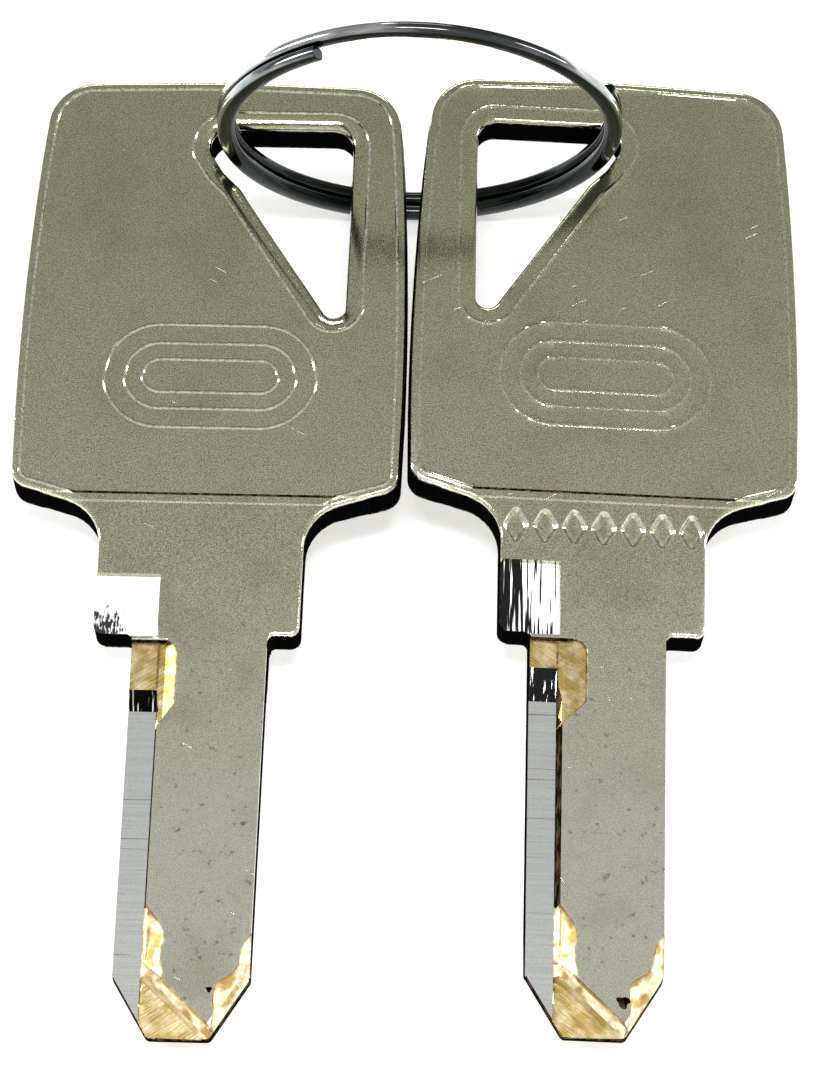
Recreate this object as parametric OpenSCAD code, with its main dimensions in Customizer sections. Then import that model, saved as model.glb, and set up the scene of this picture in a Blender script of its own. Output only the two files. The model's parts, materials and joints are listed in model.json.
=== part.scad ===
// Two identical reversible flat keys for a key-operated selector switch,
// carried on one split ring. The keys lie side by side with their tips
// toward -Y, and slide round the ring about its own axis.

/* [Key] */
// Overall length of a key
key_length = 60.2; // [60:0.1:61]
// Widest part of the bow
bow_width = 22.9; // [22.5:0.1:23.1]
// Thickness of the bow
bow_thickness = 3; // [2.8:0.1:3.2]
// Thickness of the neck and blade
blade_thickness = 2.5; // [2.2:0.1:2.8]
// Width of the blade
blade_width = 7.9; // [7.4:0.1:8.4]
// Length of the blade, from the tip to the collar stop
blade_length = 24.5; // [24.5:0.1:25.5]
// Offset of the blade from the bow's axis, toward the hole
blade_shift = 0.25; // [0:0.05:0.3]
// Width of the collar
collar_width = 12; // [11.5:0.1:12.5]
// Height of the bow's lower edge above the tip
bow_base = 32.9; // [32.7:0.1:33.1]
// Radius of the bow's bowed sides
side_radius = 200; // [160:10:240]

/* [Ring hole] */
// Distance from the key's axis to the hole's straight inner edge
hole_inner = 7.75; // [7.6:0.05:7.9]
// Material left above the hole
hole_wall = 3.05; // [2.9:0.05:3.2]
// Height of the hole along its straight inner edge, before rounding
hole_height = 13.9; // [13.8:0.05:14]
// Width of the hole along its top edge, before rounding
hole_span = 9.25; // [9.2:0.05:9.4]

/* [Milled cuts] */
// Depth of the ledge below the blade's face
ledge_depth = 0.9; // [0.8:0.05:1]
// Width of the ledge that runs along one edge of each face
ledge_width = 1.6; // [1.5:0.05:1.7]
// Length of the ledge, from the tip
ledge_length = 20.2; // [19:0.1:20.5]
// Depth of the code cut beside the collar
code_depth = 0.55; // [0.5:0.05:0.7]
// Width of the code cut beside the collar
code_width = 2.4; // [2.2:0.05:3]
// Depth of the cut across the tip
tip_depth = 0.95; // [0.8:0.05:1]
// Depth of the notch in the collar
notch_depth = 0.3; // [0.2:0.05:0.4]
// Width of the notch in the collar
notch_width = 3.6; // [3.3:0.05:3.8]
// Length of the notch in the collar
notch_length = 4.1; // [3.8:0.1:4.6]
// How far the notch reaches past the collar stop, toward the tip
notch_past_stop = 0.25; // [0.2:0.05:0.3]

/* [Ring] */
// Outer diameter of the split ring
ring_diameter = 24; // [23.9:0.05:24.05]
// Thickness of the wire along the radius
wire_radial = 1.1; // [1:0.05:1.2]
// Thickness of the wire along the ring's axis
wire_axial = 0.8; // [0.8:0.05:0.9]
// Space between the two turns
turn_gap = 0.04; // [0.03:0.01:0.05]
// Direction of the first cut end, from +X toward the ring's top
first_end = 121; // [115:1:125]
// Direction of the second cut end
second_end = 17; // [12:1:22]

/* [Arrangement] */
// Height of the ring's centre above the keys' middle plane
ring_rise = 5.6; // [5.55:0.05:5.8]
// Distance between the two keys' axes, at the ring
key_spacing = 22.78; // [22.74:0.02:22.9]
// Offset of the ring's centre from the middle between the keys, toward the right key
ring_side = 0.28; // [0:0.02:0.3]
// Distance of the ring's middle plane from the tips
ring_station = 55.4; // [55.35:0.05:55.7]
// Roll of the left key, outer edge down
left_roll = 2.5; // [2:0.5:3]
// Roll of the right key, outer edge down
right_roll = 4.5; // [4:0.5:5]
// Lean of the left key's tip, away from the ring's axis
left_lean = 2.4; // [2.2:0.1:2.6]
// Lean of the right key's tip, toward the left key
right_lean = 1.1; // [1:0.1:1.3]

/* [Hidden] */
$fn = 64;

// Small overlap that makes a cut run clear of a face
eps = 0.5;

// Half widths and levels of the key's outline
bow_half = bow_width / 2;
blade_half = blade_width / 2;
collar_half = collar_width / 2;
tip_half = 1.8;
tip_rise = 3.6;
shoulder_low = 32.2;
shoulder_high = 33.8;
widest_level = 39;
top_fall = 0.3;

// Triangle that the cut across the tip takes out of a face
tip_cut_rise = 4.2;
tip_cut_run = 4.4;

// Corner radii of the outline
tip_radius = 0.4;
heel_radius = 0.4;
stop_radius = 0.6;
neck_radius = 2.8;
shoulder_radius = 1.2;
crown_radius = 2.9;

// Corner radii of the hole
hole_radius = 1.2;
hole_foot_radius = 0.7;

// The hole's slanted edge turns outward at a knee, to clear the wire
knee_run = 6.65;
knee_rise = 1.05;
knee_bulge = 0.25;

// Edge rounding of the wire and the ring's radii
wire_round = 0.36;
wire_centre = (ring_diameter - wire_radial) / 2;
turn_pitch = wire_axial + turn_gap;

// The bare top stretch of wire steps from one turn to the other
step_span = first_end - second_end;
step_middle = (first_end + second_end) / 2;
turn_span = 360 - step_span;
step_tilt = atan(turn_pitch / 2 / (wire_centre * sin(step_span / 2)));
joint_lap = 1.5;

// The whole set tips forward until the ring and the left tip both touch the ground
tip_side = tip_half - blade_shift + ring_station * sin(left_lean);
tip_drop = ring_rise + blade_thickness / 2 * cos(left_roll) + tip_side * sin(left_roll);
turn_reach = (turn_pitch + wire_axial) / 2 - wire_round;
rest_tilt = atan((ring_diameter / 2 - tip_drop) / (ring_station * cos(left_lean) - turn_reach));
centre_height = ring_diameter / 2 * cos(rest_tilt) + turn_reach * sin(rest_tilt);

// Places the origin under the middle of the set
centre_shift = [0.81, 24.63];

// Points of an arc that rounds the corner at b, between a and c
function unit(v) = v / norm(v);
function corner(a, b, c, r, steps = 6) =
    let (
        u = unit(a - b),
        w = unit(c - b),
        half = acos(u * w) / 2,
        centre = b + unit(u + w) * r / sin(half),
        from = b + u * r / tan(half) - centre,
        to = b + w * r / tan(half) - centre,
        turn = sign(from[0] * to[1] - from[1] * to[0]) * (180 - 2 * half),
        start = atan2(from[1], from[0])
    )
    [for (i = [0:steps]) centre + r * [cos(start + turn * i / steps), sin(start + turn * i / steps)]];

// A closed outline with every corner rounded by its own radius
function rounded(points, radii) =
    let (n = len(points))
    [for (i = [0:n - 1])
        each corner(points[(i + n - 1) % n], points[i], points[(i + 1) % n], radii[i])];

// The same outline, mirrored across the key's axis
function mirrored(points) = [for (i = [len(points) - 1:-1:0]) [-points[i][0], points[i][1]]];

// Half width of the bow at a height above the tip
function bow_side(y) = bow_half - side_radius + sqrt(pow(side_radius, 2) - pow(y - widest_level, 2));

side_levels = [for (y = [widest_level:4:widest_level + 12]) y];
crown_level = key_length - top_fall;

half_corners = concat(
    [[tip_half, 0], [blade_half, tip_rise], [blade_half, blade_length], [collar_half, blade_length]],
    [[collar_half, shoulder_low], [bow_side(shoulder_high), shoulder_high]],
    [for (y = side_levels) [bow_side(y), y]],
    [[bow_side(crown_level), crown_level]]
);
half_radii = concat(
    [tip_radius, heel_radius, heel_radius, stop_radius],
    [neck_radius, shoulder_radius],
    [for (y = side_levels) 1],
    [crown_radius]
);

// Moves the corners of the blade to its own axis
function on_blade(points) = [
    for (p = points) abs(p[0]) <= blade_half && p[1] <= blade_length ? p + [blade_shift, 0] : p
];

module key_outline() {
    polygon(rounded(
        on_blade(concat(half_corners, [[0, key_length]], mirrored(half_corners))),
        concat(half_radii, [60], [for (i = [len(half_radii) - 1:-1:0]) half_radii[i]])
    ));
}

module ring_hole_outline() {
    hole_top = key_length - hole_wall;
    foot = [hole_inner, hole_top - hole_height];
    knee = foot + [-knee_run, knee_run * hole_height / hole_span];
    polygon(rounded(
        [
            [hole_inner, hole_top],
            [hole_inner - hole_span - knee_bulge, hole_top],
            knee + [-knee_rise, knee_rise],
            knee,
            foot
        ],
        [hole_radius, hole_radius, hole_radius, hole_radius, hole_foot_radius]
    ));
}

// A cut from above, open at the face, with its lowest corner at a point
module cut_box(corner, size, depth) {
    translate([corner[0], corner[1], blade_thickness / 2 - depth])
        cube([size[0], size[1], bow_thickness]);
}

// Cuts in one face of the blade, along its -X edge
module face_cuts(shift) {
    edge = shift - blade_half;
    code_top = blade_length - notch_past_stop;
    cut_box([edge - eps, -eps], [ledge_width + eps, ledge_length + eps], ledge_depth);
    cut_box([edge - eps, ledge_length - eps], [code_width + eps, code_top - ledge_length + eps], code_depth);
    cut_box([-collar_half - eps, code_top], [notch_width + eps, notch_length], notch_depth);
    translate([edge, 0, blade_thickness / 2 - tip_depth])
        linear_extrude(bow_thickness)
            polygon([
                [ledge_width, -eps],
                [ledge_width, tip_cut_rise],
                [ledge_width + tip_cut_run, -eps]
            ]);
}

module key_blank() {
    difference() {
        union() {
            translate([0, 0, -blade_thickness / 2])
                linear_extrude(blade_thickness)
                    key_outline();
            translate([0, 0, -bow_thickness / 2])
                linear_extrude(bow_thickness)
                    intersection() {
                        key_outline();
                        translate([-bow_width, bow_base])
                            square([2 * bow_width, key_length]);
                    }
        }
        translate([0, 0, -bow_thickness])
            linear_extrude(2 * bow_thickness)
                ring_hole_outline();
        face_cuts(blade_shift);
        rotate([0, 180, 0])
            face_cuts(-blade_shift);
    }
}

// Sets a piece of the assembly, drawn round the ring's centre, on the ground
module placed() {
    translate([centre_shift[0], centre_shift[1], centre_height])
        rotate([rest_tilt, 0, 0])
            children();
}

// A quarter of the wire's rounded section, at one corner
function section_corner(sx, sy, from) = [
    for (a = [from:22.5:from + 90])
        [
            wire_centre + sx * (wire_radial / 2 - wire_round) + wire_round * cos(a),
            sy * (wire_axial / 2 - wire_round) + wire_round * sin(a)
        ]
];

module wire_section() {
    polygon(concat(
        section_corner(1, 1, 0),
        section_corner(-1, 1, 90),
        section_corner(-1, -1, 180),
        section_corner(1, -1, 270)
    ));
}

// A length of wire bent round the ring's axis, which is the Y axis
module wire_arc(start, span) {
    rotate([90, 0, 0])
        rotate([0, 0, start])
            rotate_extrude(angle = span)
                wire_section();
}

module split_ring() {
    color([0.16, 0.17, 0.17])
        placed() {
            for (side = [-1, 1])
                translate([0, side * turn_pitch / 2, 0])
                    wire_arc(first_end, turn_span);
            rotate([0, -step_middle, 0])
                rotate([-step_tilt, 0, 0])
                    wire_arc(-step_span / 2 - joint_lap, step_span + 2 * joint_lap);
        }
}

module key_left() {
    color([0.55, 0.53, 0.46])
        placed()
            translate([-key_spacing / 2 - ring_side, 0, -ring_rise])
                rotate([0, -left_roll, 0])
                    rotate([0, 0, -left_lean])
                        translate([0, -ring_station, 0])
                            key_blank();
}

module key_right() {
    color([0.55, 0.53, 0.46])
        placed()
            translate([key_spacing / 2 - ring_side, 0, -ring_rise])
                rotate([0, right_roll, 0])
                    rotate([0, 0, -right_lean])
                        translate([0, -ring_station, 0])
                            rotate([0, 180, 0])
                                key_blank();
}

split_ring();
key_left();
key_right();
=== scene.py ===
"""Looks of two flat switch keys that hang on one split ring."""

import json
import math

import bmesh
import bpy
import numpy as np
from mathutils import Matrix, Vector
from mathutils.geometry import delaunay_2d_cdt


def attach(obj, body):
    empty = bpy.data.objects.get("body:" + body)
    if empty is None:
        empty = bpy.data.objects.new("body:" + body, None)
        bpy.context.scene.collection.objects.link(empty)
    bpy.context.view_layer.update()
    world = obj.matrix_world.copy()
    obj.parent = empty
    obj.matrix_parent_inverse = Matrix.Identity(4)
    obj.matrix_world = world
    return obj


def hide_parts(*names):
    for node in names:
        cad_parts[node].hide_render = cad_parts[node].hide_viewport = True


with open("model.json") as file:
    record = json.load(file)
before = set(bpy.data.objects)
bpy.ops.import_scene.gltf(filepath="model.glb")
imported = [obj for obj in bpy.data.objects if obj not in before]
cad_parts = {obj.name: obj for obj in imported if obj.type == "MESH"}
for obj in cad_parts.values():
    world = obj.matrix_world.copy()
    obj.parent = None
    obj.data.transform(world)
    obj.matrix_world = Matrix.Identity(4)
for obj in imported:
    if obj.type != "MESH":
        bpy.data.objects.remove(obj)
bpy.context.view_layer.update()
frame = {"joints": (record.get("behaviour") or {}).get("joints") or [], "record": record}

MM = 0.001

# ---------------------------------------------------------------- frame

mounts = {m["name"]: m for m in frame["record"]["mounts"]}
ring_centre = Vector(frame["joints"][0]["pos_m"])
ring_axis = Vector(frame["joints"][0]["axis"])

# The collar stop's mount, across and above the blade's own axis, in mm
STOP_ACROSS = 4.85
STOP_UP = 0.45
# The blade's axis is this far off the bow's middle line
BLADE_SHIFT = 0.25


def key_matrix(side):
    """The key's own frame: X across, Y from tip to bow and Z out of its first face."""
    tip = Vector(mounts[side + "_blade"]["pos_m"])
    along = -Vector(mounts[side + "_blade"]["axis"])
    stop = Vector(mounts[side + "_collar_stop"]["pos_m"]) - tip
    slanted = (stop - along * stop.dot(along)).normalized()
    turn = math.atan2(STOP_UP, STOP_ACROSS)
    across = Matrix.Rotation(turn, 3, along) @ slanted
    out = across.cross(along)
    origin = tip - across * BLADE_SHIFT * MM
    return Matrix((
        (across.x, along.x, out.x, origin.x),
        (across.y, along.y, out.y, origin.y),
        (across.z, along.z, out.z, origin.z),
        (0, 0, 0, 1),
    ))


# ---------------------------------------------------------------- camera

# The camera looks at the keys' upper face from the tips' side, this many degrees off square
VIEW_FROM_FACE = 23.0
# Where it aims, from the ring's centre, along and square to the ring's axis
VIEW_TARGET = (-0.0004, -0.02505, -0.0041)
VIEW_DISTANCE = 0.4
VIEW_WIDTH = 0.04813
SENSOR = 36.0

ring_lean = math.degrees(math.asin(ring_axis.z))
target = ring_centre + Matrix.Rotation(math.radians(ring_lean), 3, "X") @ Vector(VIEW_TARGET)
elevation = math.radians(90 - VIEW_FROM_FACE - ring_lean)


def make_camera():
    """The camera, which stands straight back from the target."""
    data = bpy.data.cameras.new("camera")
    data.sensor_width = SENSOR
    data.sensor_fit = "HORIZONTAL"
    data.lens = SENSOR * VIEW_DISTANCE / VIEW_WIDTH
    data.clip_start = 0.01
    data.clip_end = 10
    camera = bpy.data.objects.new("camera", data)
    back = Vector((0, -math.cos(elevation), math.sin(elevation)))
    camera.location = target + back * VIEW_DISTANCE
    camera.rotation_euler = back.to_track_quat("Z", "Y").to_euler()
    bpy.context.scene.collection.objects.link(camera)
    bpy.context.scene.camera = camera


make_camera()

# ---------------------------------------------------------------- outlines

# The key's plan in mm: X across and Y up from the tip
BOW_HALF = 11.45
KEY_LENGTH = 60.2
BLADE_HALF = 3.95
BLADE_LENGTH = 24.5
COLLAR_HALF = 6.0
TIP_HALF = 1.8
TIP_RISE = 3.6
SHOULDER_LOW = 32.2
SHOULDER_HIGH = 33.8
# The bow is widest at a level, and its sides are shallow arcs in short chords
WIDEST = 39.0
SIDE_RADIUS = 200.0
SIDE_STEP = 2
SIDE_CHORDS = 9
CROWN_RISE = 0.3
CROWN = KEY_LENGTH - CROWN_RISE
BOW_BASE = 32.9
# The hole's upright side, its top side and its slanted side, which has a knee near the top
HOLE_INNER = 7.75
HOLE_BORDER = 3.05
HOLE_TOP = KEY_LENGTH - HOLE_BORDER
HOLE_SPAN = 9.25
HOLE_HEIGHT = 13.9
KNEE_RUN = 6.65
KNEE_RISE = 1.05
KNEE_BULGE = 0.25
# Corner radii. The chords of the sides and of the top meet in long arcs
BLADE_RADIUS = 0.4
COLLAR_RADIUS = 0.6
NECK_RADIUS = 2.8
SHOULDER_RADIUS = 1.2
SIDE_ARC = 20
BOW_RADIUS = 2.9
TOP_ARC = 60
HOLE_RADIUS = 1.2
HOLE_FOOT_RADIUS = 0.7
# Added to a length or held as its least, so that nothing is divided by zero
NEXT_TO_NOTHING = 1e-12
# A corner whose sides lie this nearly in one line is left as a point
NEARLY_STRAIGHT = 1e-3


def rounded(points, radii, step=9.0):
    """A closed outline, each of whose corners is an arc of its own radius, in steps of some degrees."""
    out = []
    n = len(points)
    for i, radius in enumerate(radii):
        a, b, c = (np.array(points[(i + k) % n], float) for k in (-1, 0, 1))
        u = (a - b) / np.linalg.norm(a - b)
        w = (c - b) / np.linalg.norm(c - b)
        half = math.acos(max(-1.0, min(1.0, float(u @ w)))) / 2
        bisector = u + w
        straight = np.linalg.norm(bisector) < NEARLY_STRAIGHT
        if straight or radius <= 0:
            out.append(b)
            continue
        centre = b + bisector / np.linalg.norm(bisector) * radius / math.sin(half)
        first = b + u * radius / math.tan(half) - centre
        last = b + w * radius / math.tan(half) - centre
        turn = math.pi - 2 * half
        turn *= math.copysign(1, first[0] * last[1] - first[1] * last[0])
        start = math.atan2(first[1], first[0])
        steps = max(2, round(abs(math.degrees(turn)) / step))
        for k in range(steps + 1):
            t = start + turn * k / steps
            out.append(centre + radius * np.array([math.cos(t), math.sin(t)]))
    return np.array(out)


def inward(loop, distance):
    """The loop moved toward its inside, which is on the left of a counter-clockwise loop."""
    ahead = np.roll(loop, -1, 0) - loop
    ahead /= np.linalg.norm(ahead, axis=1)[:, None] + NEXT_TO_NOTHING
    behind = np.roll(ahead, 1, 0)
    normal = np.stack([-(ahead + behind)[:, 1], (ahead + behind)[:, 0]], 1)
    normal /= np.linalg.norm(normal, axis=1)[:, None] + NEXT_TO_NOTHING
    stretch = np.clip(np.abs((normal * np.stack([-ahead[:, 1], ahead[:, 0]], 1)).sum(1)), 0.5, 1)
    return loop + normal * (distance / stretch)[:, None]


def bow_side(y):
    """Half the bow's width at a height."""
    return BOW_HALF - SIDE_RADIUS + math.sqrt(SIDE_RADIUS ** 2 - (y - WIDEST) ** 2)


side_levels = [WIDEST + SIDE_STEP * k for k in range(SIDE_CHORDS)]
bow_corners = [(bow_side(SHOULDER_HIGH), SHOULDER_HIGH)] + [(bow_side(y), y) for y in side_levels]
bow_corners += [(bow_side(CROWN), CROWN)]
bow_radii = [SHOULDER_RADIUS] + [SIDE_ARC] * len(side_levels) + [BOW_RADIUS]


def both_sides(corners, radii):
    """A counter-clockwise outline from the corners of its right half, lowest first."""
    left = [(-x, y) for x, y in reversed(corners)]
    return corners + [(0, KEY_LENGTH)] + left, radii + [TOP_ARC] + radii[::-1]


def on_blade(point):
    """An outline corner, moved over by the blade's shift where it is on the blade."""
    x, y = point
    return (x + BLADE_SHIFT, y) if abs(x) <= BLADE_HALF and y <= BLADE_LENGTH else (x, y)


key_corners, key_radii = both_sides(
    [(TIP_HALF, 0), (BLADE_HALF, TIP_RISE), (BLADE_HALF, BLADE_LENGTH), (COLLAR_HALF, BLADE_LENGTH),
     (COLLAR_HALF, SHOULDER_LOW)] + bow_corners,
    [BLADE_RADIUS, BLADE_RADIUS, BLADE_RADIUS, COLLAR_RADIUS, NECK_RADIUS] + bow_radii,
)
key_loop = rounded([on_blade(p) for p in key_corners], key_radii)

foot = np.array((HOLE_INNER, HOLE_TOP - HOLE_HEIGHT))
knee = foot + (-KNEE_RUN, KNEE_RUN * HOLE_HEIGHT / HOLE_SPAN)
hole_loop = rounded(
    [(HOLE_INNER, HOLE_TOP), (HOLE_INNER - HOLE_SPAN - KNEE_BULGE, HOLE_TOP), knee + (-KNEE_RISE, KNEE_RISE),
     knee, foot],
    [HOLE_RADIUS, HOLE_RADIUS, HOLE_RADIUS, HOLE_RADIUS, HOLE_FOOT_RADIUS],
)


def distance_to(points, loop, closed=True):
    """Distance from each point to a loop or a line of points."""
    a = loop if closed else loop[:-1]
    b = np.roll(loop, -1, 0) if closed else loop[1:]
    best = np.full(len(points), np.inf)
    for start, end in zip(a, b):
        along = end - start
        t = np.clip(((points - start) @ along) / max(along @ along, NEXT_TO_NOTHING), 0, 1)
        best = np.minimum(best, np.linalg.norm(points - (start + t[:, None] * along), axis=1))
    return best


def inside(points, loop):
    """Whether each point is inside a closed loop."""
    x, y = points[:, 0], points[:, 1]
    odd = np.zeros(len(points), bool)
    for (x0, y0), (x1, y1) in zip(loop, np.roll(loop, -1, 0)):
        crosses = (y0 > y) != (y1 > y)
        if y0 != y1:
            odd ^= crosses & (x < (x1 - x0) * (y - y0) / (y1 - y0) + x0)
    return odd


def depth_in(points, loop):
    """Distance to a closed loop, positive inside it and negative outside."""
    return np.where(inside(points, loop), 1, -1) * distance_to(points, loop)


# ---------------------------------------------------------------- key relief

# Half thickness of the bow, and of the neck and blade
RIM_UP = 1.44
NECK_UP = 1.25
# Two low steps from the neck up to the bow: where each starts and its share of the rise
NECK_STEPS = ((32.7, 0.35), (33.2, 0.65))
STEP_WIDTH = 0.1
# Rounding of the edges above the blade and along it, and the rows of points that draw it
EDGE_ROUND = 0.2
BLADE_ROUND = 0.07
ROUND_INSETS = (0.025, 0.07, 0.14, 0.2)
# The raised lines inside the outline and round the hole
BORDER_INSET = 0.5
BAND_WIDTH = 1.02
# The first face rolls down into the hole
ROLL_DEPTH = 0.22
ROLL_WIDTH = 0.85
ROLL_INSETS = (0.42, 0.55, 0.7, 0.85)
# Wear and painted highlight along the edges and raised lines, and painted shade along the rims of the cuts:
# the band's width, and the edges' strength on the bow, the blade and the tip
WEAR_AND_LIGHT_WIDTH = 0.1
BOW_WEAR_AND_HIGHLIGHT = 0.55
BLADE_WEAR_AND_HIGHLIGHT = 0.2
TIP_WEAR_AND_HIGHLIGHT = 0.8
# Height of the second face's raised lines, against the first's
SECOND_CLEAR = 0.45
# Two corners of the second face with a painted highlight: how wide, how far round the corner and how strongly
HIGHLIT_CORNERS = ((COLLAR_HALF, BLADE_LENGTH), (-bow_side(SHOULDER_HIGH), SHOULDER_HIGH))
HIGHLIGHT_WIDTH = 0.55
HIGHLIGHT_REACH = 2.2
HIGHLIGHT_FADE = 0.5
HIGHLIGHT_STRENGTH = 1.6
# A cut is deeper than this, and a place this near the ledge's edge is on it
TINY = 1e-4
ON_EDGE = 1e-6
# From the first face's frame to the second's and back
FLIP = np.array([-1.0, 1.0])
# Kinds of surface. The outer walls, steep grooves and the ramp are painted near black as shade, and the pale
# brass is a painted highlight
PLATED, WALL, BRASS, HIGHLIT_BRASS, NOTCH, WORN_NOTCH, RAMP, LEDGE, GROOVE = range(9)

# Section of the thin raised lines: distance from the line and height
BEAD = ((-0.11, 0.0), (-0.04, 0.05), (0.04, 0.05), (0.11, 0.0))


def bead_up(distance):
    """Height of a raised line at a distance from its middle."""
    return np.interp(distance, [d for d, _ in BEAD], [h for _, h in BEAD], 0, 0)


def step_up(value, start, width):
    """A ramp from 0 at the start to 1 past the width."""
    return np.clip((value - start) / width, 0, 1)


def round_drop(distance, radius):
    """How far an edge rounded to a radius falls below its face."""
    short = np.clip(radius - distance, 0, radius)
    return radius - np.sqrt(np.maximum(radius ** 2 - short ** 2, 0))


# Plain emblem: thin raised outlines of a long rounded bar, one inside the other
EMBLEM_CENTRE = (0.0, 40.8)
EMBLEM_HALF = 2.95
EMBLEM_RADIUS = 3.3
EMBLEM_LINES = (0.0, 1.2, 2.25)
HALF_TURN_POINTS = 33


def stadium(shrink):
    """The emblem's outer bar, or one that is smaller all round."""
    radius = EMBLEM_RADIUS - shrink
    cx, cy = EMBLEM_CENTRE
    turns = np.linspace(-math.pi / 2, math.pi / 2, HALF_TURN_POINTS)
    right = np.stack([cx + EMBLEM_HALF + radius * np.cos(turns), cy + radius * np.sin(turns)], 1)
    left = np.stack([cx - EMBLEM_HALF - radius * np.cos(turns), cy - radius * np.sin(turns)], 1)
    return np.concatenate([right, left])


# Plain punch marks across the neck, on the second face only
MARKS = 7
MARK_PITCH = 1.72
MARK_HALF = (0.8, 1.4)
MARK_LEVEL = 31.1
MARK_RADII = (0.3, 0.4, 0.3, 0.4)
MARK_ARC_STEP = 15
MARK_DEPTH = 0.26
MARK_SLOPE = 0.24
# A row of points round each mark, and how far its wear and painted highlight lap over its edge
MARK_ROW = 0.08
MARK_LIP = 0.05


def mark_loops():
    """The punch marks' outlines, as lozenges in a row."""
    loops = []
    for k in range(MARKS):
        cx = (k - (MARKS - 1) / 2) * MARK_PITCH
        a, b = MARK_HALF
        corners = [(cx, MARK_LEVEL - b), (cx + a, MARK_LEVEL), (cx, MARK_LEVEL + b), (cx - a, MARK_LEVEL)]
        loops.append(rounded(corners, MARK_RADII, MARK_ARC_STEP))
    return loops


def beside(line, distance):
    """An open line moved sideways, to its left where distance is positive."""
    ahead = np.gradient(line, axis=0)
    ahead /= np.linalg.norm(ahead, axis=1)[:, None]
    return line + distance * np.stack([-ahead[:, 1], ahead[:, 0]], 1)


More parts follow.
